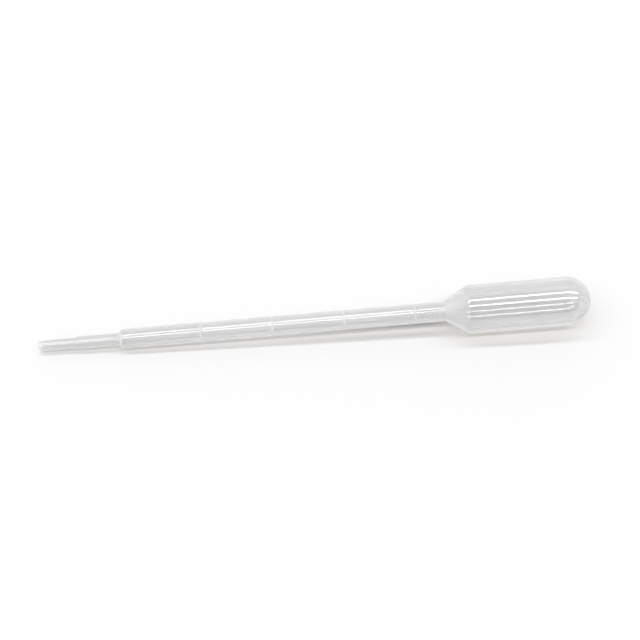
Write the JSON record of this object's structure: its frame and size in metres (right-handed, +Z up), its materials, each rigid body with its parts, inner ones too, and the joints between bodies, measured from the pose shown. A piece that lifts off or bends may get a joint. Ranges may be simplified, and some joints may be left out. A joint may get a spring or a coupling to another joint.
{
  "type": "dropper pipette",
  "caption": "One-piece squeeze dropper with a round bulb, a straight stem with raised graduation ribs and a fine stepped tip.",
  "frame": {"origin": "under the middle of the bounding box, on the surface that it lies on", "axes": "+X from the tip to the bulb along the length as it lies, +Z up, -Y the front, where the graduation ribs can be read"},
  "size_m": [0.1499, 0.013, 0.0142],
  "materials": {
    "polyethylene": "milky, translucent low density polyethylene with a smooth moulded skin"
  },
  "bodies": {
    "root": {"pipette": "polyethylene"}
  },
  "joints": []
}
